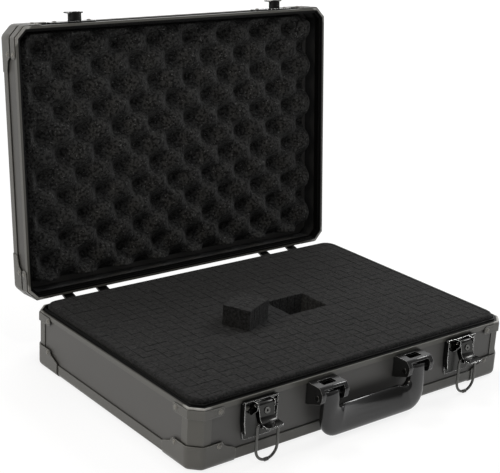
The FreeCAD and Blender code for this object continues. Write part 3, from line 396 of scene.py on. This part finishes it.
def is_upright(edge):
    """True for an edge that stands on end."""
    return abs((edge.verts[0].co - edge.verts[1].co).normalized().z) > 0.9


def cut_lines(mesh, direction, places):
    """Scores the mesh all the way through at places along X, Y or Z."""
    for spot in places:
        bmesh.ops.bisect_plane(mesh, geom=mesh.verts[:] + mesh.edges[:] + mesh.faces[:],
                               plane_co=direction * spot, plane_no=direction)


def in_order(spot):
    """Sort key that puts places in the same order on every run."""
    return [round(value / touching) for value in spot]


def open_cuts(mesh, faces, lip, depth):
    """Draws the faces in along their borders, so that each score between two faces opens as a groove."""
    chosen = set(faces)
    shared = {vert for face in chosen for vert in face.verts
              if all(other in chosen for other in vert.link_faces)}
    inward = {vert: -vert.normal.copy() for vert in shared}
    bmesh.ops.inset_individual(mesh, faces=faces, thickness=lip, depth=0.0, use_even_offset=True)
    for vert, way in inward.items():
        vert.co += way * depth


charcoal_foam = open_cell_foam("charcoal_foam", "101010", "262626", cell_mm=1.1, glint=0.25)
torn_and_lit_foam = open_cell_foam("torn_charcoal_foam_painted_paler", "242424", "3c3c3c", cell_mm=1.1, glint=0.1)
dice_pitch = 10.8 * MM
dice_groove = 0.36 * MM
dice_groove_depth = 0.45 * MM
dice_bulge = 0.8 * MM
dice_unevenness = 0.35 * MM
foam_corner_round = 14 * MM
foam_top_round = 3 * MM
pad_edge_round = 1.5 * MM
round_steps = 4
foam_swell = 3 * MM
foam_swell_from = 12 * MM
pocket_corner = Vector((3 * MM, -24 * MM, 0))
pocket_size = Vector((5 * dice_pitch, 4 * dice_pitch, 0))
across_case, along_case, up = Vector((1, 0, 0)), Vector((0, 1, 0)), Vector((0, 0, 1))
near = 0.1 * MM
touching = 0.01 * MM
chance = random.Random(11)

layer_low, layer_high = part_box("base_diced_foam")
layer = block_between(layer_low, layer_high)
round_edges(layer, is_upright, foam_corner_round, round_steps)
round_edges(layer, lambda edge: all(vert.co.z > layer_high.z - near for vert in edge.verts)
            and any(face.normal.z < 0.5 for face in edge.link_faces), foam_top_round, round_steps)
columns = range(math.ceil((layer_low.x - pocket_corner.x) / dice_pitch),
                math.floor((layer_high.x - pocket_corner.x) / dice_pitch) + 1)
rows = range(math.ceil((layer_low.y - pocket_corner.y) / dice_pitch),
             math.floor((layer_high.y - pocket_corner.y) / dice_pitch) + 1)
cut_lines(layer, across_case, [pocket_corner.x + column * dice_pitch for column in columns])
cut_lines(layer, along_case, [pocket_corner.y + row * dice_pitch for row in rows])


def in_pocket(face, margin=0.0):
    """True for a face with its middle inside the plucked pocket's outline, or within a margin of it."""
    offset = face.calc_center_median() - pocket_corner
    return all(-margin < offset[axis] < pocket_size[axis] + margin for axis in (0, 1))


bmesh.ops.delete(layer, geom=[face for face in layer.faces if abs(face.normal.z) > 0.9 and in_pocket(face)],
                 context="FACES")
pocket_edges = [edge for edge in layer.edges
                if edge.is_boundary and edge.verts[0].co.z > layer_high.z - near]
drop = bmesh.ops.extrude_edge_only(layer, edges=pocket_edges)["geom"]
bmesh.ops.translate(layer, vec=up * (layer_low.z - layer_high.z),
                    verts=[item for item in drop if isinstance(item, bmesh.types.BMVert)])
bmesh.ops.remove_doubles(layer, verts=layer.verts[:], dist=touching)
bmesh.ops.recalc_face_normals(layer, faces=layer.faces[:])
layer.normal_update()
pocket_walls = [face for face in layer.faces if abs(face.normal.z) < 0.1 and in_pocket(face, touching)]
for face in pocket_walls:
    # The pocket walls take the paler foam, partly painted light.
    face.material_index = 1
bmesh.ops.inset_individual(layer, faces=pocket_walls, thickness=2 * dice_groove, depth=dice_bulge)
top_cells = [face for face in layer.faces if face.normal.z > 0.99]
open_cuts(layer, top_cells, dice_groove, dice_groove_depth)
dice_tops = [face for face in layer.faces
             if face.normal.z > 0.99 and face.calc_area() > (dice_pitch / 2) ** 2]
for face in sorted(dice_tops, key=lambda face: in_order(face.calc_center_median())):
    lift = chance.uniform(-dice_unevenness, 0)
    for vert in face.verts:
        vert.co.z += lift
for vert in layer.verts:
    vert.co.z += foam_swell * max(0, 1 - (layer_high.z - vert.co.z) / foam_swell_from)
diced = place_piece(layer, "foam_diced_layer", charcoal_foam, "base", "base_diced_foam")
diced.data.materials.append(torn_and_lit_foam)

pad = block_between(*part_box("base_foam_pad"))
round_edges(pad, is_upright, foam_corner_round, round_steps)
round_edges(pad, lambda edge: True, pad_edge_round, round_steps // 2)
flat_pad = place_piece(pad, "foam_flat_pad", charcoal_foam, "base", "base_foam_pad")


# Plucked block: a handful of the diced cubes torn out in one piece and laid on the foam.
# The cuts between its cubes show as lines down its sides and across its top.
block_turn = math.radians(24.0)
block_columns = 4
block_rows = 3
block_height = 25.5 * MM
tear = 0.5 * MM
block_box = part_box("base_plucked_foam_block")
block_middle = (block_box[0] + block_box[1]) / 2
half_block = Vector((block_columns * dice_pitch / 2, block_rows * dice_pitch / 2, block_height / 2))
block = block_between(-half_block, half_block)
for direction, count in ((across_case, block_columns), (along_case, block_rows)):
    cut_lines(block, direction, [(step - count / 2) * dice_pitch for step in range(1, count)])
block.normal_update()
open_cuts(block, [face for face in block.faces if face.normal.z > -0.5], dice_groove, dice_groove_depth)
bmesh.ops.subdivide_edges(block, edges=[edge for edge in block.edges if edge.calc_length() > dice_pitch / 3],
                          cuts=2, use_grid_fill=True)
for vert in sorted(block.verts, key=lambda vert: in_order(vert.co)):
    vert.co += Vector([chance.uniform(-tear, 0) * (1 if part > 0 else -1) for part in vert.co])
bmesh.ops.rotate(block, cent=Vector(), matrix=Matrix.Rotation(block_turn, 3, "Z"), verts=block.verts[:])
bmesh.ops.translate(block, vec=block_middle, verts=block.verts[:])
plucked = place_piece(block, "foam_plucked_block", charcoal_foam, "base", "base_plucked_foam_block")
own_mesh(plucked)


# Foam of the lid: black egg-crate foam, wire-cut into staggered crests and hollows.
# It is glued to the lid's board; the crests reach almost to the rim.
black_foam = open_cell_foam("black_egg_crate_foam", "101010", "3b3b3a", cell_mm=1.2, glint=0.9)
crest_pitch_x = 48.6 * MM
crest_pitch_y = 46.5 * MM
crest_start = Vector((-6 * MM, 17.5 * MM, 0))
crest_level = 72 * MM
hollow_level = 91 * MM
slab_level = 92.3 * MM
hollow_sharpness = 1.6
crest_unevenness = 0.9 * MM
unevenness_size = 8 * MM
foam_border = 4 * MM
foam_edge = Vector((194 * MM, 133.5 * MM, 0))
foam_shift = 3 * MM
foam_corner = 8 * MM
grid_step = 2.4 * MM

crates = bmesh.new()
bmesh.ops.create_grid(crates, x_segments=round(2 * foam_edge.x / grid_step),
                      y_segments=round(2 * foam_edge.y / grid_step), size=1.0)
bmesh.ops.scale(crates, vec=(foam_edge.x, foam_edge.y, 1), verts=crates.verts[:])
for vert in crates.verts:
    across = min(abs(vert.co.x), foam_edge.x) - (foam_edge.x - foam_corner)
    along = min(abs(vert.co.y), foam_edge.y) - (foam_edge.y - foam_corner)
    if across > 0 and along > 0 and across + along > foam_corner:
        pull = (across + along - foam_corner) / 2
        vert.co.x -= math.copysign(pull, vert.co.x)
        vert.co.y -= math.copysign(pull, vert.co.y)
    vert.co.y -= foam_shift
    step_x = (vert.co.x - crest_start.x) / crest_pitch_x
    step_y = (vert.co.y - crest_start.y) / crest_pitch_y
    wave = math.cos(2 * math.pi * step_x) * math.cos(2 * math.pi * step_y)
    vert.co.z = crest_level + (hollow_level - crest_level) * ((1 - wave) / 2) ** hollow_sharpness
    vert.co.z += crest_unevenness * noise.noise(vert.co / unevenness_size)
border = [edge for edge in crates.edges if edge.is_boundary]
skirt = bmesh.ops.extrude_edge_only(crates, edges=border)["geom"]
for vert in [item for item in skirt if isinstance(item, bmesh.types.BMVert)]:
    vert.co += Vector((vert.co.x, vert.co.y, 0)).normalized() * foam_border
    vert.co.z = slab_level
bmesh.ops.holes_fill(crates, edges=[edge for edge in crates.edges if edge.is_boundary], sides=0)
bmesh.ops.rotate(crates, cent=hinge_point, matrix=lid_opening, verts=crates.verts[:])
egg_crate = place_piece(crates, "foam_egg_crate", black_foam, "lid", "lid_crested_foam")
egg_crate.data.polygons.foreach_set("use_smooth", [True] * len(egg_crate.data.polygons))


# Hinges: stamped steel leaves rolled round a pin, plated dark.
# They are riveted to the back boards, and their knuckles stand behind the case.
# The cross pins of the handle and the latches are of the same dull, dark steel.
dark_plate = grey_sheet("dark_plated_steel", "3a3a38", "444442", grit_mm=0.4, cloud_mm=12, rough=0.32,
                        bump_mm=0.03, edge="8a8986", metal=1.0)
pair = ("left", "right")
hinge_names = ["hinge_" + part + "_" + side for part in ("base_leaf", "lid_leaf", "pin") for side in pair]
dress(hinge_names + [part + "_pin_" + side for part in ("handle", "latch") for side in pair],
      dark_plate, edge_mm=0.2)


# Latches: stamped steel plated with black nickel, which gives dark, sharp reflections.
# The plates and keepers are riveted on; the levers swing on cross pins and carry the wire bails.
# The bails and the lock plugs are plain nickel, a shade brighter than the rest.
# Edges are painted near white, a painted highlight along with some wear.
black_nickel = grey_sheet("black_nickel_plating", "343433", "40403f", grit_mm=0.4, cloud_mm=10, rough=0.2,
                          bump_mm=0.02, edge="dededc", metal=1.0, wear_and_highlight_share=1.0)
latch_parts = ("latch_plate", "latch_lever", "keeper")
dress([part + "_" + side for part in latch_parts for side in pair], black_nickel, edge_mm=0.25)
bail_wire = grey_sheet("nickel_plated_wire", "4c4c4a", "5a5a58", grit_mm=0.4, cloud_mm=6, rough=0.24,
                       bump_mm=0.02, edge="8a8a88", metal=1.0)
dress(["latch_bail_" + side for side in pair], bail_wire)
plug_metal = grey_sheet("nickel_plated_zinc", "565654", "646462", grit_mm=0.4, cloud_mm=6, rough=0.24,
                        bump_mm=0.01, edge="9c9c9a", metal=1.0, wear_and_highlight_share=0.3)
dress(["lock_plug_" + side for side in pair], plug_metal, edge_mm=0.15)


# Handle and its brackets: glossy black moulding on two black cast brackets.
# Steel pins through the brackets' cheeks carry the arms, so the handle swings up for the hand.
# The brackets' edges are painted pale, a painted highlight along with some wear.
satin_casting = grey_sheet("black_satin_casting", "151515", "1d1d1d", grit_mm=0.5, cloud_mm=14, rough=0.15,
                           bump_mm=0.02, edge="9a9a9a", wear_and_highlight_share=0.9)
gloss_moulding = grey_sheet("gloss_black_moulding", "151515", "1c1c1c", grit_mm=0.6, cloud_mm=30, rough=0.14,
                            bump_mm=0.015, edge="202020")
dress(["handle_bracket_" + side for side in pair], satin_casting, edge_mm=0.6)

arm_centre = 58.5 * MM
arm_half = 10 * MM
arm_top = 54 * MM
arm_top_out = 15 * MM
arm_top_depth = 5 * MM
grip_low = 3 * MM
grip_high = 33 * MM
grip_out = 14.5 * MM
grip_depth = 6.5 * MM
outer_bend = 19 * MM
inner_bend = 7 * MM
grip_end = 38 * MM
lean_low = 12 * MM
lean_depth = 7 * MM
grip_roundness = 2.6
bend_steps = 8
arm_steps = 6
ring_points = 24
outer_edge, inner_edge = [], []
for step in range(arm_steps):
    share = step / arm_steps
    outer_edge.append((arm_centre + arm_half, arm_top + share * (grip_low + outer_bend - arm_top)))
    inner_edge.append((arm_centre - arm_half, arm_top + share * (grip_high + inner_bend - arm_top)))
for step in range(bend_steps + 1):
    turn = math.pi / 2 * step / bend_steps
    outer_edge.append((arm_centre + arm_half - outer_bend * (1 - math.cos(turn)),
                       grip_low + outer_bend * (1 - math.sin(turn))))
    inner_edge.append((arm_centre - arm_half - inner_bend * (1 - math.cos(turn)),
                       grip_high + inner_bend * (1 - math.sin(turn))))
leans = [0.0] * len(outer_edge) + [1.0]
outer_edge.append((grip_end, grip_low))
inner_edge.append((grip_end, grip_high))
outer_edge += [(-x, z) for x, z in reversed(outer_edge)]
inner_edge += [(-x, z) for x, z in reversed(inner_edge)]
leans += reversed(leans)


def rounded(value):
    """Coordinate on a full, soft-cornered oval in place of a circle's."""
    return math.copysign(abs(value) ** (2 / grip_roundness), value)


moulding = bmesh.new()
rings = []
for (outer_x, outer_z), (inner_x, inner_z), lean in zip(outer_edge, inner_edge, leans):
    climb = max(0, (min(outer_z, inner_z) - grip_high) / (arm_top - grip_high))
    out = grip_out + (arm_top_out - grip_out) * climb
    depth = grip_depth + (arm_top_depth - grip_depth) * climb
    rings.append([])
    for number in range(ring_points):
        turn = 2 * math.pi * number / ring_points
        side = (1 + rounded(math.cos(turn))) / 2
        height = inner_z + (outer_z - inner_z) * side
        thinned = lean * lean_depth * max(0, (height - lean_low) / (grip_high - lean_low)) / 2
        front = -half_depth - (out - thinned) - (depth - thinned) * rounded(math.sin(turn))
        rings[-1].append(moulding.verts.new((inner_x + (outer_x - inner_x) * side, front, height)))
for before, after in zip(rings, rings[1:]):
    for number in range(ring_points):
        moulding.faces.new((before[number - 1], before[number], after[number], after[number - 1]))
for end in (rings[0], rings[-1]):
    moulding.faces.new(end)
handle = place_piece(moulding, "moulded_handle", gloss_moulding, "handle", "handle")
handle.data.polygons.foreach_set("use_smooth", [True] * len(handle.data.polygons))


# Floor: a wide pale sweep under the case, which keeps a faint shadow of it.
# It shows white to the camera and in reflections, without adding light to the case.
def seen_directly(tree):
    """One for rays from the camera and through reflections or glass, otherwise nought."""
    ray = add(tree, "ShaderNodeLightPath").outputs
    mirrored = add(tree, "ShaderNodeMath", {"operation": "MAXIMUM"},
                   {0: ray["Is Glossy Ray"], 1: ray["Is Transmission Ray"]})
    return add(tree, "ShaderNodeMath", {"operation": "MAXIMUM"},
               {0: ray["Is Camera Ray"], 1: mirrored.outputs["Value"]}).outputs["Value"]


floor_half = 8.0
shadow_reach, white_from = 0.6, 2.5
near_glow, far_glow = 0.75, 1.0
floor_white = 1.12
floor_mesh = bmesh.new()
bmesh.ops.create_grid(floor_mesh, x_segments=1, y_segments=1, size=floor_half)
floor_data = bpy.data.meshes.new("floor")
floor_mesh.to_mesh(floor_data)
floor_mesh.free()
floor = bpy.data.objects.new("floor", floor_data)
bpy.context.scene.collection.objects.link(floor)
pale_floor, tree, place = new_finish("pale_floor")
far = add(tree, "ShaderNodeVectorMath", {"operation": "LENGTH"}, {0: place})
glow = add(tree, "ShaderNodeMapRange", {"From Min": shadow_reach, "From Max": white_from,
                                        "To Min": near_glow, "To Max": far_glow},
           {"Value": far.outputs["Value"]})
share = add(tree, "ShaderNodeMath", {"operation": "MULTIPLY"},
            {0: glow.outputs["Result"], 1: seen_directly(tree)})
matt = add(tree, "ShaderNodeBsdfDiffuse", {"Color": linear("f2f2f2")})
white = add(tree, "ShaderNodeEmission", {"Strength": floor_white})
both = add(tree, "ShaderNodeMixShader", None,
           {"Fac": share.outputs["Value"], 1: matt.outputs["BSDF"], 2: white.outputs["Emission"]})
add(tree, "ShaderNodeOutputMaterial", None, {"Surface": both.outputs["Shader"]})
floor_data.materials.append(pale_floor)


# Light and camera: a white room, brighter at the back and in reflections, and four soft lamps round the case.
# The camera stands at the front left, a little above the open lid, with the view of the photograph.
world = bpy.data.worlds.new("white_room")
bpy.context.scene.world = world
world.use_nodes = True
sky = world.node_tree
sky.nodes.clear()
front_light = 0.105
back_light = 0.5
back_reflection = 1.3
ray = add(sky, "ShaderNodeLightPath").outputs
back = add(sky, "ShaderNodeMix", {"A": back_light, "B": back_reflection},
           {"Factor": ray["Is Glossy Ray"]})
way = add(sky, "ShaderNodeSeparateXYZ", None, {0: add(sky, "ShaderNodeTexCoord").outputs["Generated"]})
room = add(sky, "ShaderNodeMapRange", {"From Min": -1.0, "To Min": front_light},
           {"Value": way.outputs["Y"], "To Max": back.outputs["Result"]})
strength = add(sky, "ShaderNodeMix", {"B": 1.0},
               {"Factor": ray["Is Camera Ray"], "A": room.outputs["Result"]})
backdrop = add(sky, "ShaderNodeBackground", {"Color": linear("ffffff")},
               {"Strength": strength.outputs["Result"]})
add(sky, "ShaderNodeOutputWorld", None, {"Surface": backdrop.outputs["Background"]})


def lamp(name, place, aim, size, power, colour="ffffff"):
    """Square soft lamp that faces a point."""
    data = bpy.data.lights.new(name, "AREA")
    data.size = size
    data.energy = power
    data.color = linear(colour)[:3]
    made = bpy.data.objects.new(name, data)
    made.location = place
    made.rotation_mode = "QUATERNION"
    made.rotation_quaternion = (Vector(aim) - Vector(place)).to_track_quat("-Z", "Y")
    bpy.context.scene.collection.objects.link(made)


middle = (0, 0, 0.12)
lamp("back_lamp", (0.1, 1.25, 2.4), middle, 0.7, 18)
lamp("right_lamp", (2.0, -0.1, 1.8), middle, 0.8, 21)
lamp("left_lamp", (-2.2, -0.2, 1.3), middle, 0.5, 11, colour="fff5e4")
lamp("front_lamp", (-0.4, -1.0, 2.2), middle, 0.2, 6)

photo_width = 500
focal_pixels = 1234.7
sensor = 36.0
camera_place_mm = Vector((-806.5, -941.5, 568.5))
azimuth, elevation, roll = (math.radians(angle) for angle in (-39.21, 18.67, 3.18))
view = bpy.data.cameras.new("photo_view")
view.sensor_width = sensor
view.lens = focal_pixels / photo_width * sensor
view.clip_end = 50
camera = bpy.data.objects.new("photo_view", view)
backward = Vector((math.sin(azimuth) * math.cos(elevation), -math.cos(azimuth) * math.cos(elevation),
                   math.sin(elevation)))
level = Vector((math.cos(azimuth), math.sin(azimuth), 0))
upright = backward.cross(level)
tilted_right = level * math.cos(roll) + upright * math.sin(roll)
tilted_up = upright * math.cos(roll) - level * math.sin(roll)
camera.matrix_world = Matrix((tilted_right, tilted_up, backward)).transposed().to_4x4()
camera.location = camera_place_mm * MM
bpy.context.scene.collection.objects.link(camera)
bpy.context.scene.camera = camera
bpy.context.scene.view_settings.view_transform = "Standard"
